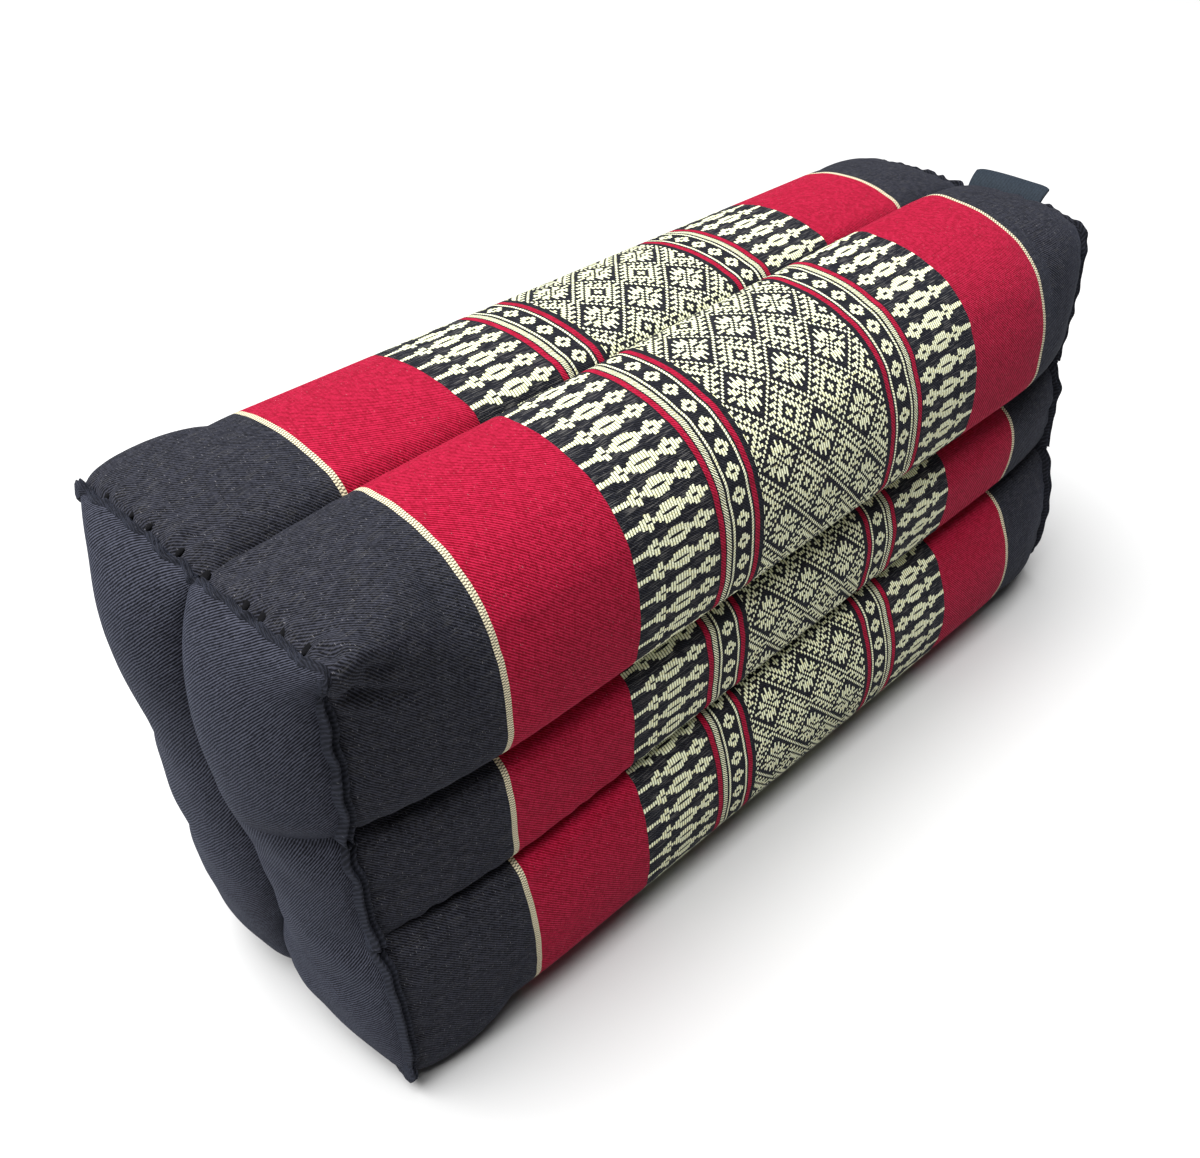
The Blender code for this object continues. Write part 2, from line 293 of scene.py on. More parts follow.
def fieldStrokes(cloth, place, across):
    width, tall = len(fieldChart[0]), len(fieldChart)
    scale = 2 ** width
    marks = [[mark == "#" for mark in row] for row in fieldChart]
    beside = [[mark and (row[abs(column - 1)] or row[min(column + 1, width - 1)])
               for column, mark in enumerate(row)] for row in marks]
    pairs = zip(rowNumbers(marks, scale), rowNumbers(beside, scale))
    stops = [(n / loom["fieldSlots"], (alone, joined, 0)) for n, (alone, joined) in enumerate(pairs)]
    along = abs(place - loom["fieldCentre"]) / loom["fieldStroke"]
    column = math.floor(along + 0.5)
    repeat = 2 * (width - 1)
    power = 2 ** abs(column - repeat * math.floor(column / repeat + 0.5))
    up = abs(across - loom["fieldPhase"]) / loom["fieldRow"]
    row = math.floor(up + 0.5)
    repeat = 2 * (tall - 1)
    foldedRow = abs(row - repeat * math.floor(row / repeat + 0.5))
    masks = cloth.chart(stops, (foldedRow + 0.5) / loom["fieldSlots"])
    bit, joined = (math.floor(mask * scale / power) % 2 for mask in masks)
    body = abs(along - column)
    inside = bit * (body < 0.36 + joined * 0.14)
    # each stroke is painted lighter in its middle and darker towards its edges: painted highlight and shade
    # for a round thread
    return inside, inside * cloth.step(body, 0.42, 0.26)

def twill(cloth, along, across, pitch):
    # how much light the threads catch, in diagonal ribs of short floats, and each float's own luck: painted
    # into the colour as highlight and shade, and used for the bump
    rib, run = (along - across) / pitch, (along + across) / (pitch * 1.6)
    lit = abs(rib % 1 - 0.5) * 2 * (0.7 + abs((run + math.floor(rib) * 0.37) % 1 - 0.5) * 0.6)
    return lit, cloth.chance(math.floor(rib), math.floor(run + math.floor(rib) * 0.37))

def makeLoomed():
    cloth = Cloth("loomedCotton", 0.95, 0.03)
    along, across = clothPlace(cloth)
    place = cloth.vector(along, across)
    drift = cloth.noise(place, 0.09, 1) - 0.5  # the stuffing pulls the rows off straight
    along = along + drift * 0.5
    across = across + drift * 0.5
    end = loom["middle"] - abs(along - loom["middle"])

    thread, luck = twill(cloth, along, across, loom["twillPitch"])
    fuzz = cloth.noise(place, 1.3, 2)
    # the threads painted lit on their crowns and in shade between them, with tone that differs at random
    lit = cloth.step(thread + (luck - 0.5) * 0.3 + (fuzz - 0.5) * 0.4, 0.1, 0.9)
    streak = cloth.noise(cloth.vector(along * 0.16, across * 3.4), 1.0, 1)
    hairy = 0.1 + 0.32 * cloth.band(end, loom["redEdge"], loom["hairEdge"])
    cream = cloth.mix(loom["creamDeep"], loom["cream"], cloth.step(fuzz, 0.25, 0.55))
    ground = 1 - loom["groundShade"] * (end > loom["redEdge"])
    black = cloth.mix(loom["blackShaded"], loom["black"], lit * ground)
    black = cloth.mix(black, loom["hair"], cloth.step(streak, 0.57, 0.68) * hairy)
    red = cloth.mix(loom["crimsonShaded"], loom["crimson"], lit)

    isRed = (end > loom["goldStripe"][1]) * (end < loom["redEdge"])
    column, columnLit = strokeRuns(cloth, end, across, loom["redEdge"], loom["stroke"], columnRuns)
    flower, flowerLit = strokeRuns(cloth, end, across, loom["borderMiddle"] - 3 * loom["borderStroke"],
                                   loom["borderStroke"], flowerRuns)
    field, fieldLit = fieldStrokes(cloth, along, across)
    inField = end > loom["fieldEdge"]
    hatch = abs(((along * 1.1 - across) / loom["hatchPitch"]) % 1 - 0.5)
    hatchLit = cloth.band(end, *loom["twillLine"]) * cloth.step(hatch, 0.18, 0.34)
    rope = abs((across + end * 0.5) % 1 - 0.5)
    inRope = abs(abs(end - loom["borderMiddle"]) - loom["ropeAside"]) < loom["ropeHalf"]
    redLines = cloth.band(end, *loom["redLine"]) + cloth.band(end, *loom["innerRed"])
    # where strokes lie, and how much cream shows: painted highlight in the strokes' middles, and the rope and
    # hatch of the border
    inside = column + flower + field * inField
    shade = columnLit + flowerLit + fieldLit * inField + inRope * cloth.step(rope, 0.44, 0.3) + hatchLit

    colour = cloth.mix(black, red, isRed + redLines)
    # the strokes first take the painted shade colour, then cream where they are painted lit
    colour = cloth.mix(colour, loom["creamShadedEdge"], inside)
    colour = cloth.mix(colour, cream, shade)
    long, wide = loom["goldCheck"]
    check = (math.floor((end - loom["goldStripe"][0]) / long) * 0.5 + across / wide) % 1
    stripe = cloth.mix(loom["gold"], loom["goldDeep"], cloth.step(abs(check - 0.5), 0.3, 0.2) * 0.85)
    colour = cloth.mix(colour, stripe, cloth.band(end, *loom["goldStripe"]))
    lint = cloth.noise(cloth.vector(along * 2.0, across * 0.5), 1.5, 1)
    lintShare = cloth.step(lint + 0.03 * (end < loom["goldStripe"][0]), 0.76, 0.85) * (1 - inside)
    colour = cloth.mix(colour, loom["lint"], lintShare * 0.24)
    return cloth.finish(colour, thread + fuzz * 0.8, 0.0002, 0.6)

blackTwill = {
    "pitch": 1.0, "lint": (128, 128, 132),
    # how steeply the ribs turn, and the black painted in shade between them and lit on them
    "panel": (1.0, (4, 4, 7), (70, 72, 84)),
    "seam": (0.6, (20, 21, 25), (42, 43, 51)),
}

def makeBlack(name, use):
    ribTurn, deep, bright = blackTwill[use]
    cloth = Cloth(name, 0.92, 0.05)
    along, up = clothPlace(cloth)
    place = cloth.vector(along, up)
    wander = cloth.noise(place, 0.12, 1) - 0.5
    rib = (up + along * ribTurn + wander * 0.9) / blackTwill["pitch"]
    run = along / 1.3 + math.floor(rib) * 0.4
    thread = abs(run % 1 - 0.5) * 2
    luck = cloth.chance(math.floor(run), math.floor(rib))
    rib = abs(rib % 1 - 0.5) * 2
    fuzz = cloth.noise(place, 1.2, 2)
    # painted highlight on the ribs and painted shade between them, with tone that differs at random
    lit = cloth.step(rib * 0.8 + thread * 0.15 + (luck - 0.5) * 0.15 + (fuzz - 0.5) * 0.5, 0.18, 1.02)
    lint = cloth.noise(cloth.vector(along * 1.5, up * 0.7), 1.5, 1)
    colour = cloth.mix(cloth.mix(deep, bright, lit), blackTwill["lint"], cloth.step(lint, 0.76, 0.84) * 0.3)
    return cloth.finish(colour, rib + thread * 0.2 + fuzz * 0.6, 0.00025, 0.6)

form = {
    "seamLength": 0.35, "midHeight": 0.0857, "reach": (0.0607, 0.046), "channelReach": 0.064,
    "channelLevels": (0.0187, -0.0209), "cleftDepth": 0.004, "cleftLeast": 0.25,
    "cleftWidth": 0.0022, "cleftReach": 0.022,
    "risePower": 0.86, "fallPower": 2.8, "power": 0.67, "footReach": 0.021,
    "cornerReach": 0.035, "nearCorner": 7.5, "farCorner": 4.0,
    "flare": ((0.0086, 0.004), (0.0117, 0.0)), "flareFar": (0.002, 0.0),
    "flareReach": 0.0315, "flareSpread": 0.35,
}
halfLength, midHeight = form["seamLength"] / 2, form["midHeight"]
footZ = -midHeight
# name, near seam y, far seam y, seam z, near y, far y, near z, far z, kind, power
topKnot = ("channel", 0.0, 0.0, 0.0772, 0.0, 0.0, 0.0803, 0.0803, "rise", 0)
lowKnots = (("foot", 0.011, 0.011, -0.0792, 0.011, 0.011, footZ, footZ, "fall", 0),
            ("channel", 0.0, 0.0, -0.0775, 0.0, 0.0, -0.0805, -0.0805, "end", 0))
rightKnots = (
    topKnot,
    ("crown", 0.0153, 0.0153, 0.0786, 0.0153, 0.0153, 0.0847, 0.0915, "corner", 2.25),
    ("side", 0.0483, 0.053, 0.0411, 0.0583, 0.0672, 0.0411, 0.0411, "fall", 0),
    ("channel", 0.0434, 0.051, 0.0187, 0.0535, 0.053, 0.0187, 0.0187, "rise", 0),
    ("middle", 0.047, 0.056, 0.0, 0.0567, 0.0645, 0.0, 0.0, "fall", 0),
    ("channel", 0.0495, 0.056, -0.0209, 0.057, 0.0565, -0.0209, -0.0209, "rise", 0),
    ("lowSide", 0.0557, 0.064, -0.056, 0.0628, 0.0739, -0.056, -0.056, "corner", 2.3),
    ("foot", 0.036, 0.04, -0.0792, 0.036, 0.04, footZ, footZ, "straight", 0),
    *lowKnots,
)
leftKnots = (
    topKnot,
    ("crown", 0.0305, 0.025, 0.0792, 0.0305, 0.025, 0.0868, 0.088, "corner", 2.58),
    ("side", 0.047, 0.05, 0.0421, 0.0695, 0.061, 0.0421, 0.0421, "fall", 0),
    ("channel", 0.042, 0.046, 0.0187, 0.0545, 0.0525, 0.0187, 0.0187, "rise", 0),
    ("middle", 0.042, 0.052, 0.0, 0.062, 0.06, 0.0, 0.0, "fall", 0),
    ("channel", 0.04, 0.051, -0.0209, 0.056, 0.0555, -0.0209, -0.0209, "rise", 0),
    ("lowSide", 0.042, 0.06, -0.056, 0.0729, 0.068, -0.056, -0.056, "corner", 2.3),
    ("foot", 0.03, 0.04, -0.0792, 0.036, 0.04, footZ, footZ, "straight", 0),
    *lowKnots,
)
chamberKnots = {"Top": (0, 3), "Middle": (3, 5), "Low": (5, 9)}
stepsPerRun = 30

def lerp(a, b, share):
    return a + (b - a) * share

def arcAlong(line):
    # how far each point of a line is from its start
    return np.concatenate([[0], np.cumsum(np.hypot(*np.diff(line, axis=0).T))])

def fullness(distance, reach):
    left = 1 - min(distance / reach, 1)
    return (1 - left * left) ** form["power"]

def knotPlace(knot, along, distance, reach):
    name, nearSeamY, farSeamY, seamZ, nearY, farY, nearZ, farZ = knot[:8]
    if name == "channel":
        share = fullness(distance, form["channelReach"])
    elif name == "foot":
        share = min(distance / form["footReach"], 1) ** 0.5
    else:
        share = fullness(distance, reach)
    seamY = lerp(nearSeamY, farSeamY, round(along))
    return (lerp(seamY, lerp(nearY, farY, along), share), lerp(seamZ, lerp(nearZ, farZ, along), share))

def runPoints(knots, n, along, distance, reach, flare, seamPower):
    # points (y, z) from one knot of a half section to the next
    knot = knots[n]
    name, kind, power = knot[0], knot[8], knot[9]
    y0, z0 = knotPlace(knot, along, distance, reach)
    y1, z1 = knotPlace(knots[n + 1], along, distance, reach)
    t = np.linspace(0, 1, stepsPerRun + 1)
    if kind == "corner":
        power = lerp(seamPower, power, min(distance / form["cornerReach"], 1))
        angle = t * math.pi / 2
        fast = np.sin(angle) ** (2 / power)
        slow = 1 - np.cos(angle) ** (2 / power)
        slow[-1] = 1.0
        if name == "lowSide":
            return np.stack([lerp(y0, y1, slow), lerp(z0, z1, fast)], 1)
        tip = max(0.0, 1 - distance / form["flareReach"]) ** 2
        out = tip * np.exp(-((angle - math.pi / 4) / form["flareSpread"]) ** 2)
        return np.stack([lerp(y0, y1, fast) + flare[0] * out, lerp(z0, z1, slow) + flare[1] * out], 1)
    depth = form["cleftDepth"] * lerp(form["cleftLeast"], 1, fullness(distance, form["cleftReach"]))
    run = math.dist((y0, z0), (y1, z1))
    bows = {"rise": (1 - (1 - t) ** 2) ** form["risePower"], "fall": t ** form["fallPower"], "straight": t}
    bow = bows[kind]
    fromChannel = {"rise": t * run, "fall": (1 - t) * run, "straight": t * 0 + run}[kind]
    sunk = depth * np.exp(-fromChannel / form["cleftWidth"])
    if abs(z1 - z0) > abs(y1 - y0):  # up a side, or else across the top or foot
        return np.stack([lerp(y0, y1, bow) - sunk, lerp(z0, z1, t)], 1)
    return np.stack([lerp(y0, y1, t), lerp(z0, z1, bow) - sunk * (1 if z0 > 0 else -1)], 1)

def cornerForm(side, far):
    # how a top corner flares at an end seam, and how square it is there
    flare = lerp(*np.array((form["flare"][side > 0], form["flareFar"])), far)
    return flare, lerp(form["nearCorner"], form["farCorner"], far)

def chamberLine(side, chamber, x, count):
    # evenly spaced points (y, z) over one chamber at x, channel to channel, and their arc length
    d = x + halfLength
    along = d / form["seamLength"]
    distance = min(d, form["seamLength"] - d)
    knots = rightKnots if side < 0 else leftKnots
    flare, seamPower = cornerForm(side, round(along))
    reach = form["reach"][0 if side < 0 else 1]
    first, last = chamberKnots[chamber]
    runs = [runPoints(knots, n, along, distance, reach, flare, seamPower) for n in range(first, last)]
    line = np.concatenate([runs[0]] + [r[1:] for r in runs[1:]])
    arc = arcAlong(line)
    want = np.linspace(0, arc[-1], count)
    y = np.interp(want, arc, line[:, 0]) * side
    z = np.interp(want, arc, line[:, 1]) + midHeight
    return y, z, arc[-1]

def makePiece(name, points, faces, material, coords=None, closed=False):
    # an object with the cloth's own coordinates; the faces of a closed one are turned outwards
    mesh = bpy.data.meshes.new(name)
    mesh.from_pydata(points.reshape(-1, 3).tolist(), [], faces)
    if coords is not None:
        corner = np.empty(len(mesh.loops), dtype=np.int32)
        mesh.loops.foreach_get("vertex_index", corner)
        layer = mesh.uv_layers.new(name="cloth")
        layer.data.foreach_set("uv", coords.reshape(-1, 2)[corner].astype(np.float32).ravel())
    if closed:
        shape = bmesh.new()
        shape.from_mesh(mesh)
        bmesh.ops.remove_doubles(shape, verts=shape.verts, dist=1e-6)
        bmesh.ops.recalc_face_normals(shape, faces=shape.faces)
        shape.to_mesh(mesh)
        shape.free()
    mesh.shade_smooth()
    mesh.materials.append(material)
    return addObject(name, mesh)

def gridPiece(name, points, coords, material, flip=False):
    # one layer of cloth over a grid of points
    index = np.arange(points.shape[0] * points.shape[1]).reshape(points.shape[:2])
    faces = np.stack([index[:-1, :-1], index[1:, :-1], index[1:, 1:], index[:-1, 1:]], -1).reshape(-1, 4)
    return makePiece(name, points, (faces[:, ::-1] if flip else faces).tolist(), material, coords)

def waves(places, length, seed, terms=7):
    # a smooth seeded ripple along a length, between about -1 and 1
    pick = np.random.default_rng(seed)
    total = np.zeros_like(places)
    for _ in range(terms):
        total += np.sin(places / length * 2 * math.pi * pick.uniform(0.5, 1.6) + pick.uniform(0, 6.28))
    return total / math.sqrt(terms)

pulls = {
    # y and size of each stitch along the near top seam
    "stitches": ((0.051, 0.5), (0.045, 0.6), (0.032, 0.6), (0.024, 0.5), (0.01, 0.6),
                 (0.0, 1.5), (-0.019, 1.0), (-0.025, 1.2), (-0.034, 0.9), (-0.043, 0.8)),
    "stitchDepth": 0.002, "stitchReach": 0.0021, "stitchAside": 0.001,
    # from, to, depth, width of small creases in the stuffed cloth by the seams
    "creases": (
        ((-0.1715, -0.05, 0.164), (-0.1545, -0.057, 0.152), 0.0026, 0.0021),
        ((-0.17, -0.053, 0.156), (-0.151, -0.057, 0.143), 0.0024, 0.0023),
        ((-0.1735, -0.042, 0.166), (-0.16, -0.044, 0.174), 0.0008, 0.0026),
        ((-0.174, 0.02, 0.1655), (-0.16, 0.024, 0.17), 0.0007, 0.003),
        ((-0.174, -0.044, 0.125), (-0.16, -0.054, 0.12), 0.0008, 0.0026),
        ((-0.1745, -0.046, 0.084), (-0.162, -0.056, 0.08), 0.0007, 0.0026),
        ((-0.174, -0.052, 0.042), (-0.16, -0.062, 0.038), 0.0008, 0.0028),
        ((-0.173, -0.006, 0.163), (-0.156, -0.015, 0.17), 0.001, 0.003),
        ((-0.173, 0.007, 0.163), (-0.158, 0.015, 0.169), 0.0008, 0.003),
        ((0.1735, -0.03, 0.165), (0.159, -0.033, 0.174), 0.0008, 0.0028),
        ((0.174, -0.052, 0.128), (0.16, -0.063, 0.124), 0.0009, 0.0028),
        ((0.174, -0.054, 0.086), (0.161, -0.064, 0.082), 0.0008, 0.0028),
    ),
}

def pulledIn(points, out):
    # where stitches and small creases draw the cloth in, along its outward directions
    total = np.zeros(points.shape[:-1])
    for y, share in pulls["stitches"]:
        height = np.interp(abs(y), (0, 0.0153, 0.05), (0.0772, 0.0786, 0.0775)) + midHeight
        pit = (pulls["stitchAside"] - halfLength, y, height)
        away = np.linalg.norm(points - pit, axis=-1) / pulls["stitchReach"]
        total += pulls["stitchDepth"] * share * np.exp(-away ** 2)
    for start, finish, depth, width in pulls["creases"]:
        start, finish = np.array(start), np.array(finish)
        run = finish - start
        share = np.clip(np.sum((points - start) * run, -1) / np.dot(run, run), 0, 1)
        away = np.linalg.norm(points - start - share[..., None] * run, axis=-1)
        beside = np.exp(-(away / width) ** 2) - 0.45 * np.exp(-((away - width * 1.9) / width) ** 2)
        total += depth * (1 - share * share) * beside
    return points - out * total[..., None]

wrap = {
    "stationStep": 0.0014, "pointStep": 0.0014, "fill": 0.9, "hem": 0.0026,
    "simStations": 90, "simStep": 0.0042, "frames": 20, "cap": 0.00028, "smoothing": 12, "soften": 2,
    "settings": {
        "quality": 6, "mass": 0.3, "tension_stiffness": 20, "compression_stiffness": 20,
        "shear_stiffness": 8, "bending_stiffness": 0.25, "air_damping": 2.0,
        "use_pressure": True, "uniform_pressure_force": 4.0, "vertex_group_mass": "held",
    },
    "gather": 0.012, "gatherReach": 0.012, "seamGather": 0.025, "seamReach": 0.02, "calm": 0.006,
    "pucker": 0.00022, "puckerLength": 0.0085, "puckerReach": 0.005,
    "puckerNear": 0.002, "puckerEdge": 0.0015,
    "seamPucker": 0.0004, "seamPuckerLength": 0.008, "seamPuckerReach": 0.007,
}
sideNames = {-1: "Right", 1: "Left"}
ringOrder = [(-1, "Top"), (-1, "Middle"), (-1, "Low"), (1, "Low"), (1, "Middle"), (1, "Top")]

def chamberGrid(side, chamber, xs, count):
    ys, zs = zip(*(chamberLine(side, chamber, x, count)[:2] for x in xs))
    return np.stack([np.repeat(np.array(xs)[:, None], count, 1), np.array(ys), np.array(zs)], -1)

def stations(count):
    # places along the cushion, closer together near the end seams
    share = np.linspace(0, 1, count)
    return halfLength * ((share * 2 - 1) * 0.65 - np.cos(share * math.pi) * 0.35)

def settleCloth(widths):
    # how the stuffed cloth moves from its plain form, held in the channels and the end seams
    xs = stations(wrap["simStations"])
    counts = {key: max(8, int(width / wrap["simStep"])) for key, width in widths.items()}
    parts, shares = [], []
    for side, chamber in ringOrder:
        grid = chamberGrid(side, chamber, xs, counts[side, chamber])
        share = np.linspace(0, 1, counts[side, chamber])
        if side > 0:
            grid, share = grid[:, ::-1], share[::-1]
        parts.append(grid[:, :-1])
        shares.append(np.minimum(share, 1 - share)[:-1] * widths[side, chamber])
    base = np.concatenate(parts, 1)
    toChannel = np.concatenate(shares)
    rows, columns = base.shape[:2]
    index = np.arange(rows * columns).reshape(rows, columns)
    beside = np.roll(index, -1, 1)
    faces = np.stack([index[:-1], index[1:], beside[1:], beside[:-1]], -1).reshape(-1, 4)
    mesh = bpy.data.meshes.new("settling")
    mesh.from_pydata(base.reshape(-1, 3).tolist(), [], faces.tolist())
    piece = addObject("settling", mesh)
    group = piece.vertex_groups.new(name="held")
    held = np.zeros((rows, columns), bool)
    held[[0, -1]] = True
    held[:, toChannel < 1e-9] = True
    group.add([int(i) for i in index[held]], 1.0, "REPLACE")
    piece.shape_key_add(name="Basis")
    cut = piece.shape_key_add(name="cut")  # longer along the channels than it is held
    stretch = 1 + wrap["gather"] * np.exp(-toChannel / wrap["gatherReach"])
    fromSeam = halfLength - np.abs(xs)
    cutPlaces = base.copy()
    cutPlaces[:, :, 0] *= stretch[None, :]
    swell = 1 + wrap["seamGather"] * np.exp(-fromSeam / wrap["seamReach"])[:, None]
    cutPlaces[:, :, 1] *= swell
    cutPlaces[:, :, 2] = midHeight + (cutPlaces[:, :, 2] - midHeight) * swell
    cut.data.foreach_set("co", cutPlaces.reshape(-1).astype(np.float32))
    sim = piece.modifiers.new("stuffing", "CLOTH")
    for key, value in wrap["settings"].items():
        setattr(sim.settings, key, value)
    sim.settings.rest_shape_key = cut
    sim.settings.effector_weights.gravity = 0
    sim.collision_settings.use_collision = False
    sim.point_cache.frame_start, sim.point_cache.frame_end = 1, wrap["frames"]
    scene = bpy.context.scene
    for number in range(1, wrap["frames"] + 1):
        scene.frame_set(number)
    settled = piece.evaluated_get(bpy.context.evaluated_depsgraph_get()).to_mesh()
    flat = np.empty(rows * columns * 3, np.float32)
    settled.vertices.foreach_get("co", flat)
    scene.frame_set(1)
    bpy.data.objects.remove(piece, do_unlink=True)
    moved = flat.reshape(rows, columns, 3) - base
    slow = moved.copy()  # the swelling, which the form already has
    for turn in range(wrap["smoothing"]):
        if turn == wrap["soften"]:
            fast = slow.copy()
        slow[1:-1] = slow[1:-1] * 0.5 + (slow[:-2] + slow[2:]) * 0.25
        slow = slow * 0.5 + (np.roll(slow, 1, 1) + np.roll(slow, -1, 1)) * 0.25
    moved = fast - slow
    length = np.linalg.norm(moved, axis=2, keepdims=True)
    moved *= np.minimum(1, wrap["cap"] / np.maximum(length, 1e-9))
    moved *= np.minimum(1, toChannel / wrap["calm"])[None, :, None]
    print("settled: moved", round(float(length.mean()) * 1000, 2), "mm on average, at most",
          round(float(length.max()) * 1000, 2))
    drift, start = {}, 0
    for side, chamber in ringOrder:
        width = counts[side, chamber] - 1
        columnsOf = [(start + k) % columns for k in range(width + 1)]
        part = moved[:, columnsOf]
        drift[side, chamber] = part if side < 0 else part[:, ::-1]
        start += width
    return drift

def finer(grid, rows, columns):
    # a grid of vectors read at more rows and columns, with smooth curves between
    for axis, count in ((0, rows), (1, columns)):
        grid = np.moveaxis(grid, axis, 0)
        place = np.linspace(0, len(grid) - 1, count)
        cell = np.minimum(place.astype(int), len(grid) - 2)
        t = (place - cell).reshape(-1, 1, 1)
        p = [grid[np.clip(cell + k, 0, len(grid) - 1)] for k in (-1, 0, 1, 2)]
        grid = 0.5 * (2 * p[1] + (p[2] - p[0]) * t + (2 * p[0] - 5 * p[1] + 4 * p[2] - p[3]) * t ** 2
                      + (3 * p[1] - p[0] - 3 * p[2] + p[3]) * t ** 3)
        grid = np.moveaxis(grid, 0, axis)
    return grid

def outwards(points):
    # unit vectors out of a grid, pointing away from the cushion's middle line
    across = np.gradient(points, axis=1)
    along = np.gradient(points, axis=0)
    out = np.cross(along, across)
    out /= np.maximum(np.linalg.norm(out, axis=2, keepdims=True), 1e-12)
    core = points * (0, 1, 1) - (0, 0, midHeight)
    return out * np.sign(np.sum(out * core, axis=2, keepdims=True).mean())

def hemmed(points):
    # the cloth's two cut ends, turned in under the end seams
    ends = []
    for row, aside in ((points[0], -1), (points[-1], 1)):
        core = row * (0, 1, 1) - (0, 0, midHeight)
        inward = core / np.linalg.norm(core, axis=1, keepdims=True)
        ends.append(row - inward * wrap["hem"] + (aside * wrap["hem"] * 0.8, 0, 0))
    return np.concatenate([ends[:1], points, ends[1:]])

def ripples(xs, across, side, chamber):
    # small puckers along a chamber's two channels and along the end seams
    fromSeam = halfLength - np.abs(xs)[:, None]
    near = wrap["puckerNear"]
    total = np.zeros((len(xs), len(across)))
    for seed, edge in ((11, across), (12, across[-1] - across)):
        phase = waves(xs + 1.0, wrap["puckerLength"], seed + len(chamber) + side)[:, None]
        steep = edge / near * np.exp(1 - edge / near) * 0.5
        slack = np.exp(-edge / wrap["puckerReach"]) * np.minimum(1, edge * 2 / near)
        total += wrap["pucker"] * phase * (steep + slack)
    phase = waves(across, wrap["seamPuckerLength"], 31 + side)
    fade = np.exp(-fromSeam / wrap["seamPuckerReach"]) * np.minimum(1, fromSeam / near)
    total += wrap["seamPucker"] * phase * fade
    return total * np.minimum(1, np.minimum(across, across[-1] - across) / wrap["puckerEdge"])

def buildWrap(material):
    # the wrap cloth, one piece for each chamber, meeting in the sewn channels
    widths = {(side, chamber): chamberLine(side, chamber, 0.0, 200)[2] for side, chamber in ringOrder}
    drift = settleCloth(widths)
    xs = stations(int(form["seamLength"] / wrap["stationStep"]))
    places = np.concatenate([[-halfLength - wrap["hem"]], xs, [halfLength + wrap["hem"]]]) + halfLength
    for side in (-1, 1):
        start = 0.0
        for chamber in chamberKnots:
            width = widths[side, chamber]
            count = int(width / wrap["pointStep"])
            points = chamberGrid(side, chamber, xs, count)
            if drift:
                points += finer(drift[side, chamber], len(xs), count)
            across = np.linspace(0, width, count)
            out = outwards(points)
            points += out * ripples(xs, across, side, chamber)[:, :, None]
            points = pulledIn(points, out)
            points[:, :, 2] = np.maximum(points[:, :, 2], 0.0)
            points = hemmed(points)
            coords = np.empty(points.shape[:2] + (2,))
            coords[:, :, 0] = places[:, None] * 10
            coords[:, :, 1] = (start + across)[None, :] * 10 * (1 if side < 0 else -1)
            piece = gridPiece("wrap" + chamber + sideNames[side], points, coords, material, flip=side > 0)
            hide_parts("cushion_body")
            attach(piece, "root")
            start += width

panel = {
    "rim": 0.0012, "valleyPower": 2.2, "edgePower": 0.55, "topPower": 5.0, "footPower": 2.0,
    "rows": 130, "columns": 96, "fill": 0.9,
    "lump": 0.0004, "lumpLengths": (0.035, 0.03), "lumpFrom": 0.178, "lumpFade": 0.006,
    # share of the height, left crown, right crown, valley
    "near": ((-1.0, 0.015, 0.015, 0.005), (-0.75, 0.015, 0.0125, 0.005), (-0.5, 0.015, 0.0092, 0.0045),
             (0.0, 0.0142, 0.01, 0.0045), (0.3, 0.014, 0.0142, 0.005), (0.6, 0.0165, 0.0155, 0.005),
             (1.0, 0.0175, 0.0145, 0.005)),
    "far": ((-1.0, 0.012, 0.012, 0.005), (1.0, 0.016, 0.017, 0.005)),
    "valleyShift": (-0.011, -0.3, 0.5),  # how far, round which height, over what share
    # where the channels run on over the end
    "dent": 0.42, "dentWidth": 0.0065, "dentFrom": 0.45, "dentOver": 0.5, "dentPower": 1.5,
    "evenRows": 0.4, "pull": (0.5, 0, 0.8),
}

def seamRing(end):
    # each half of the seam's outline as three edges of points (y, z): along the top, down, along the foot
    halves = {}
    for side, knots in ((-1, rightKnots), (1, leftKnots)):
        far = 0 if end < 0 else 1
        flare, seamPower = cornerForm(side, far)
        runs = [runPoints(knots, n, far, 0.0, form["reach"][0], flare, seamPower) for n in range(9)]
        middle = stepsPerRun // 2
        top = np.concatenate([runs[0], runs[1][1: middle + 1]])
        down = np.concatenate([runs[1][middle:]] + [r[1:] for r in runs[2:6]] + [runs[6][1: middle + 1]])
        low = np.concatenate([runs[6][middle:]] + [r[1:] for r in runs[7:]])
        halves[side] = [line * (side, 1) for line in (top, down, low)]
    return halves

def resample(line, shares):
    arc = arcAlong(line)
    return np.stack([np.interp(shares * arc[-1], arc, line[:, k]) for k in range(line.shape[1])], 1)

def crownAt(table, up, column):
    return np.interp(up, [row[0] for row in table], [row[column] for row in table])

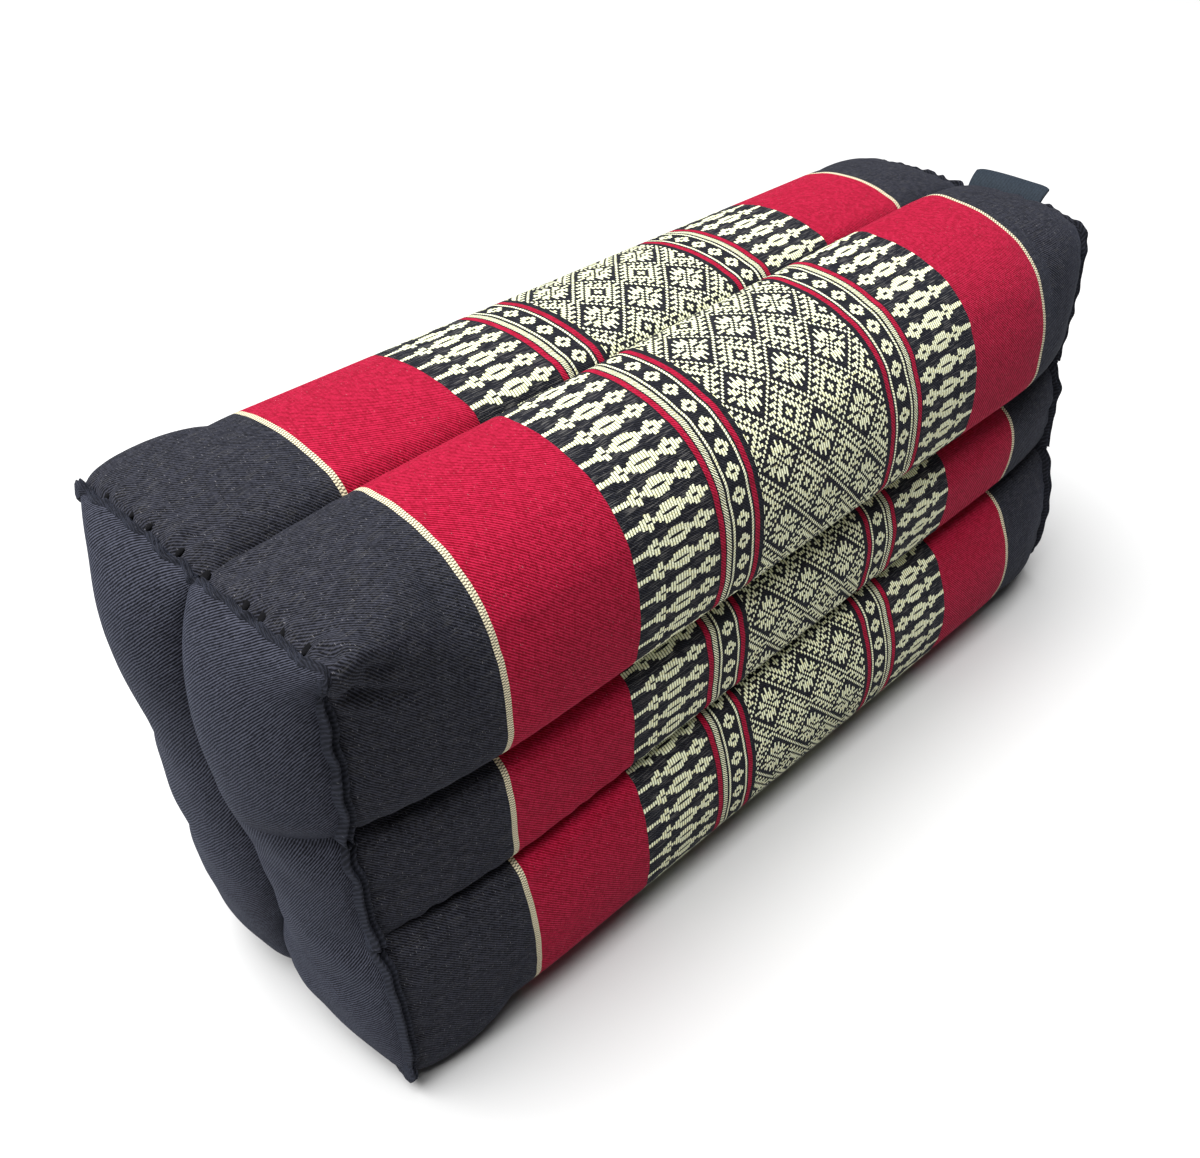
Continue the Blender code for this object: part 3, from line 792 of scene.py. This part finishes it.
def panelHalf(end, side, edges, aside, above):
    # a patch over half of the seam's outline, crowned towards the middle of its own half
    top, down, low = edges
    topLine, lowLine = resample(top, aside), resample(low[::-1], aside)
    sideLine = resample(down[::-1], above)  # from the bottom corner up
    midLine = np.stack([np.zeros(len(above)), lerp(lowLine[0, 1], topLine[0, 1], above)], 1)
    share, level = aside[None, :, None], above[:, None, None]
    corners = lerp(lerp(lowLine[0], lowLine[-1], share), lerp(topLine[0], topLine[-1], share), level)
    between = lerp(midLine[:, None], sideLine[:, None], share)
    flat = lerp(lowLine[None], topLine[None], level) + between - corners
    up = 2 * above[:, None] - 1
    across = np.repeat(aside[None, :], len(above), 0)
    lobe = np.maximum(0, 1 - np.abs(2 * across - 1) ** panel["valleyPower"]) ** panel["edgePower"]
    endPower = np.where(up > 0, panel["topPower"], panel["footPower"])
    fade = np.maximum(0, 1 - np.abs(up) ** endPower) ** panel["edgePower"]
    table = panel["near" if end < 0 else "far"]
    valley = crownAt(table, up, 3)
    crown = crownAt(table, up, 2 if side < 0 else 1)
    out = ((crown - valley / 2) * lobe + valley * (1 - across)) * fade
    for height in form["channelLevels"]:
        dent = np.exp(-((flat[:, :, 1] - height) / panel["dentWidth"]) ** 2)
        reach = np.clip((across - panel["dentFrom"]) / panel["dentOver"], 0, 1) ** panel["dentPower"]
        out = out * (1 - panel["dent"] * dent * reach)
    if end < 0:
        far, height, spread = panel["valleyShift"]
        shift = far * np.exp(-((up - height) / spread) ** 2) * (1 - up ** 4)
        flat[:, :, 0] += shift * (1 - across)
    x = end * (halfLength + panel["rim"] + out)
    return np.stack([x, flat[:, :, 0], flat[:, :, 1] + midHeight], -1)

def buildPanel(name, node, end, material):
    # a black end panel: two crowns beside a valley
    halves = seamRing(end)
    even = np.linspace(0, 1, panel["rows"])
    aside = 0.5 - 0.5 * np.cos(np.linspace(0, 1, panel["columns"]) * math.pi)
    above = lerp(0.5 - 0.5 * np.cos(even * math.pi), even, panel["evenRows"])
    right, left = (panelHalf(end, side, halves[side], aside, above) for side in (-1, 1))
    points = np.concatenate([right[:, ::-1], left[:, 1:]], 1)
    wide, tall = panel["lumpLengths"]
    lumps = waves(points[:, :, 1] + points[:, :, 2] * 0.3, wide, 41) * waves(points[:, :, 2], tall, 42)
    fade = np.clip((np.abs(points[:, :, 0]) - panel["lumpFrom"]) / panel["lumpFade"], 0, 1)
    points[:, :, 0] += panel["lump"] * lumps * fade
    points = pulledIn(points, np.array(panel["pull"]) * (end, 1, 1))
    coords = np.empty(points.shape[:2] + (2,))
    # the cloth is measured over its bulges, the same for a whole row or column, so that its ribs run straight
    for axis in (0, 1):
        steps = np.linalg.norm(np.diff(points, axis=axis), axis=-1).mean(1 - axis)
        run = np.insert(np.cumsum(steps), 0, 0.0) * 10
        coords[:, :, 1 - axis] = run[:, None] if axis == 0 else run[None, :]
    piece = gridPiece(name, points, coords, material, flip=end > 0)
    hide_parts(node)
    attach(piece, "root")

seam = {
    "step": 0.0008, "sideHeight": 0.003, "topHeight": 0.0012, "sideWidth": 0.0042, "topWidth": 0.002,
    "topLean": 0.0008, "topFrom": 0.0735, "topFade": 0.008, "sink": 0.002, "root": 0.0046,
    "middle": 0.3, "groove": 0.38, "roundness": 3.2, "slots": 13, "pull": (0.3, 0, 1.0),
    # how much, and over what length: the swelling of the rolls, the gathers on top, and the wandering
    "swell": (0.12, 0.012), "gathers": (0.28, 0.006), "wave": (0.0005, 0.016, 0.005),
    "hook": 0.0022, "hookRun": 0.0085, "hookPower": 1.5, "hookFrom": 0.03,
    "earSpread": 0.005, "earSwell": 0.3,
    # end, y, z from mid-height, how far the tip is pulled out
    "tips": ((-1, 0.059, 0.078, 0.003), (1, -0.051, 0.0745, 0.003), (-1, -0.0555, -0.0785, 0.003),
             (-1, 0.04, -0.077, 0.0015), (1, 0.052, 0.078, 0.001), (1, -0.064, -0.076, 0.0015)),
}

def seamPath(end):
    # points (y, z) round the seam, its outward directions, and how far each is along the path
    halves = seamRing(end)
    right = np.concatenate([halves[-1][0], halves[-1][1][1:], halves[-1][2][1:]])
    left = np.concatenate([halves[1][0], halves[1][1][1:], halves[1][2][1:]])
    ring = np.concatenate([right, left[::-1][1:]])
    arc = arcAlong(ring)
    count = int(arc[-1] / seam["step"])
    path = resample(ring, np.arange(count) / count)
    around = np.arange(-3, 4)
    smooth = sum(np.roll(path, k, 0) * w for k, w in zip(around, (1, 3, 6, 7, 6, 3, 1))) / 27
    ahead = np.roll(smooth, -1, 0) - np.roll(smooth, 1, 0)
    out = np.stack([ahead[:, 1], -ahead[:, 0]], 1) / np.hypot(*ahead.T)[:, None]
    if np.sum(out * path) < 0:
        out = -out
    return smooth, out, np.arange(count) * arc[-1] / count

def seamPush(path, end):
    # how far the allowance is drawn out: hooked above each channel and pulled at the tips
    push = np.zeros(len(path))
    for level in form["channelLevels"]:
        share = (path[:, 1] - level) / seam["hookRun"]
        push += np.where((share > 0) & (share < 1), 1 - share, 0) ** seam["hookPower"]
    push *= seam["hook"] * (np.abs(path[:, 0]) > seam["hookFrom"])
    swell = np.ones(len(path))
    for tipEnd, y, z, reach in seam["tips"]:
        if tipEnd == end:
            near = np.exp(-(np.hypot(path[:, 0] - y, path[:, 1] - z) / seam["earSpread"]) ** 2)
            push += reach * near
            swell *= 1 + seam["earSwell"] * near
    return push, swell

def buildSeam(name, node, end, material):
    # the turned allowance: two rolls side by side, low on the top edge and proud on the sides
    path, out, along = seamPath(end)
    onTop = 1 - np.clip((seam["topFrom"] - np.abs(path[:, 1])) / seam["topFade"], 0, 1)
    (swell, swellLength), (gathers, gatherLength) = seam["swell"], seam["gathers"]
    uneven = swell * waves(along, swellLength, 3) + gathers * onTop * waves(along, gatherLength, 8, 4)
    push, tipSwell = seamPush(path, end)
    high = lerp(seam["sideHeight"], seam["topHeight"], onTop) * (1 + uneven) * tipSwell
    wide = lerp(seam["sideWidth"], seam["topWidth"], onTop)
    wave, slow, quick = seam["wave"]
    drift = wave * (waves(along, slow, 5) + 0.5 * onTop * waves(along, quick, 9))
    drift += end * seam["topLean"] * onTop
    middle = end * (halfLength + panel["rim"] * seam["middle"])

    def seamRow(aside, lift):
        line = path + out * lift[:, None]
        return np.stack([middle + aside, line[:, 0], line[:, 1] + midHeight], 1)

    rows = []
    for slot in np.linspace(-1, 1, seam["slots"]):
        # a groove between two rolls
        hump = 1 - seam["groove"] + seam["groove"] * math.cos((2 * slot + 1) * math.pi)
        edge = max(0, 1 - abs(slot) ** seam["roundness"]) ** 0.5
        rows.append(seamRow(drift + slot * wide / 2, push + high * edge * hump))
    for slot in (1, 0, -1):  # its root, wider and under both cloths
        rows.append(seamRow(np.full(len(path), slot * seam["root"] / 2), np.full(len(path), -seam["sink"])))
    points = pulledIn(np.stack(rows, 1), np.array(seam["pull"]) * (end, 1, 1))
    count, around = points.shape[:2]
    index = np.arange(count * around).reshape(count, around)
    ahead, beside = np.roll(index, -1, 0), np.roll(index, -1, 1)
    faces = np.stack([index, ahead, np.roll(ahead, -1, 1), beside], -1).reshape(-1, 4).tolist()
    coords = np.stack([np.repeat(along[:, None] * 10, around, 1),
                       np.repeat(np.arange(around)[None, :] * 0.004, count, 0)], -1)
    piece = makePiece(name, points, faces, material, coords, closed=True)
    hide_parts(node)
    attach(piece, "root")

stitch = {
    "long": 0.0015, "wide": 0.0009, "thick": 0.0007, "slant": 0.6, "rise": 0.25, "proud": 0.0013,
    # the thread's near-black colour is partly its own and partly painted shade for the holes it goes into
    "rings": 6, "sides": 10, "least": 0.7, "grow": 0.5, "deep": (4, 4, 5), "bright": (18, 18, 21),
}

def buildStitches(material):
    # the hand stitches that close the near top seam: short dark threads pulled into it, near black so that
    # they also stand for the painted shade of the stitch holes
    path = seamPath(-1)[0]
    rings, sides = stitch["rings"], stitch["sides"]
    vertices, faces = [], []
    for y, share in pulls["stitches"]:
        near = path[np.argmin(np.abs(path[:, 0] - y) + (path[:, 1] < 0.05) * 1.0)]  # on the top edge
        x = pulls["stitchAside"] - halfLength
        centre = np.array((x, near[0], near[1] + midHeight))
        centre = pulledIn(centre[None], np.array(seam["pull"]) * (-1, 1, 1))[0] + (0, 0, stitch["proud"])
        along = np.array((1.0, stitch["slant"] * (share - 0.2), stitch["rise"]))
        along /= np.linalg.norm(along)
        beside = np.cross((0, 0, 1.0), along)
        beside /= np.linalg.norm(beside)
        upward = np.cross(along, beside)
        start = len(vertices)
        size = stitch["least"] + stitch["grow"] * share
        for ring in range(rings + 1):
            turn = math.pi * ring / rings
            for side in range(sides):
                angle = 2 * math.pi * side / sides
                vertices.append(centre + size * (along * math.cos(turn) * stitch["long"] + math.sin(turn) * (
                    beside * math.cos(angle) * stitch["wide"] + upward * math.sin(angle) * stitch["thick"])))
        for ring in range(rings):
            for side in range(sides):
                a, b = start + ring * sides + side, start + ring * sides + (side + 1) % sides
                faces.append((a, b, b + sides, a + sides))
    piece = makePiece("closingStitches", np.array(vertices), faces, material, closed=True)
    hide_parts("end_panel_near")
    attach(piece, "root")

def makeThread():
    cloth = Cloth("closingThreadAndHoleShade", 0.95, 0.0)
    place = cloth.node("ShaderNodeTexCoord", None, None, out=3)
    twist = cloth.node("ShaderNodeTexNoise", None, {"Vector": place, "Scale": 1800.0, "Detail": 1})
    return cloth.finish(cloth.mix(stitch["deep"], stitch["bright"], twist), twist, 0.0002, 0.6)

tab = {
    "width": 0.0318, "height": 0.0088, "middle": -0.017, "foot": 0.0781, "lean": math.radians(60),
    "firstLean": 0.4, "gap": 0.0007, "ply": 0.00032, "hidden": 0.001, "inset": 0.0001, "rounding": 0.1,
    "steps": 14, "columns": 40, "bend": 0.0004, "footShare": 0.965,
    # the twill's pitch, and the ribbon's navy painted in shade between its threads and lit on them
    "pitch": 0.7, "deep": (14, 20, 26), "bright": (44, 54, 64),
}

def buildTab(material):
    # the folded ribbon: up one side, over the fold and down the other, with its ends in the seam
    steps, half = tab["steps"], tab["gap"] / 2
    spine = []
    x, z = halfLength + tab["inset"], midHeight + tab["foot"] - tab["hidden"]
    run = (tab["height"] + tab["hidden"]) / steps
    for k in range(steps + 1):
        lean = tab["lean"] * lerp(tab["firstLean"], 1.0, min(1, k / steps * 1.3))
        spine.append((x, z, lean))
        x, z = x + run * math.sin(lean), z + run * math.cos(lean)
    front = [(px - half * math.cos(a), pz + half * math.sin(a)) for px, pz, a in spine]
    back = [(px + half * math.cos(a), pz - half * math.sin(a)) for px, pz, a in spine]
    px, pz, a = spine[-1]
    fold = []
    for turn in np.linspace(0, math.pi, 7)[1:-1]:
        side, up = -math.cos(turn) * half, math.sin(turn) * half
        fold.append((px + side * math.cos(a) + up * math.sin(a), pz - side * math.sin(a) + up * math.cos(a)))
    line = np.array(front + fold + back[::-1])
    ahead = np.gradient(line, axis=0)
    normal = np.stack([-ahead[:, 1], ahead[:, 0]], 1) / np.hypot(*ahead.T)[:, None]
    loop = np.concatenate([line + normal * tab["ply"] / 2, (line - normal * tab["ply"] / 2)[::-1]])
    across = np.linspace(-0.5, 0.5, tab["columns"])
    bend = tab["bend"] * np.sin(across * 4.2 + 0.6)
    points = np.empty((len(across), len(loop), 3))
    lift = np.sin(np.concatenate([np.linspace(0, 1, len(line)), np.linspace(1, 0, len(line))]) * math.pi)
    foot = loop[0]
    for k, at in enumerate(across):
        shorter = 1 - tab["rounding"] * abs(2 * at) ** 10  # the fold's corners are soft
        points[k, :, 0] = foot[0] + (loop[:, 0] - foot[0]) * shorter + bend[k] * lift
        points[k, :, 1] = tab["middle"] + at * tab["width"] * lerp(tab["footShare"], 1, lift)
        points[k, :, 2] = foot[1] + (loop[:, 1] - foot[1]) * shorter + bend[k] * 0.5 * lift
    index = np.arange(points.shape[0] * points.shape[1]).reshape(points.shape[:2])
    beside = np.roll(index, -1, 1)
    faces = np.stack([index[:-1], beside[:-1], beside[1:], index[1:]], -1).reshape(-1, 4).tolist()
    for row in (index[0].tolist(), index[-1].tolist()):  # the ribbon's two edges
        faces += [[row[k], row[k + 1], row[-k - 2], row[-k - 1]] for k in range(len(line) - 1)]
    arc = arcAlong(line)
    coords = np.stack([np.repeat(across[:, None] * tab["width"] * 10, len(loop), 1),
                       np.repeat(np.concatenate([arc, arc[::-1]])[None, :] * 10, len(across), 0)], -1)
    piece = makePiece("blankTab", points, faces, material, coords, closed=True)
    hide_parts("label")
    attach(piece, "root")

def makeRibbon():
    cloth = Cloth("tabRibbon", 0.6, 0.1)
    along, up = clothPlace(cloth)
    thread, luck = twill(cloth, along, up, tab["pitch"])
    fuzz = cloth.noise(cloth.vector(along, up), 1.5, 2)
    # the threads painted lit and in shade between them, with tone that differs at random
    colour = cloth.mix(tab["deep"], tab["bright"], cloth.step(thread + fuzz * 0.4 + luck * 0.2, 0.3, 1.3))
    return cloth.finish(colour, thread, 0.00012, 0.7)

loomed = makeLoomed()
panelCloth = makeBlack("blackTwill", "panel")
buildWrap(loomed)
print("wrap built")
buildPanel("endPanelNear", "end_panel_near", -1, panelCloth)
buildPanel("endPanelFar", "end_panel_far", 1, panelCloth)
print("end panels built")
seamCloth = makeBlack("seamTwill", "seam")
buildSeam("seamNear", "end_panel_near", -1, seamCloth)
buildSeam("seamFar", "end_panel_far", 1, seamCloth)
buildStitches(makeThread())
buildTab(makeRibbon())
print("seams and tab built")

reach = light["floorReach"]
corners = [(-reach, -reach, 0), (reach, -reach, 0), (reach, reach, 0), (-reach, reach, 0)]
paint = bpy.data.materials.new("floorPaint")
paint.use_nodes = True
surface = paint.node_tree.nodes["Principled BSDF"]
surface.inputs["Base Color"].default_value = (*light["floorColour"], 1)
surface.inputs["Roughness"].default_value = light["floorRoughness"]
floor = makePiece("floor", np.array(corners), [(0, 1, 2, 3)], paint)
print("floor laid")
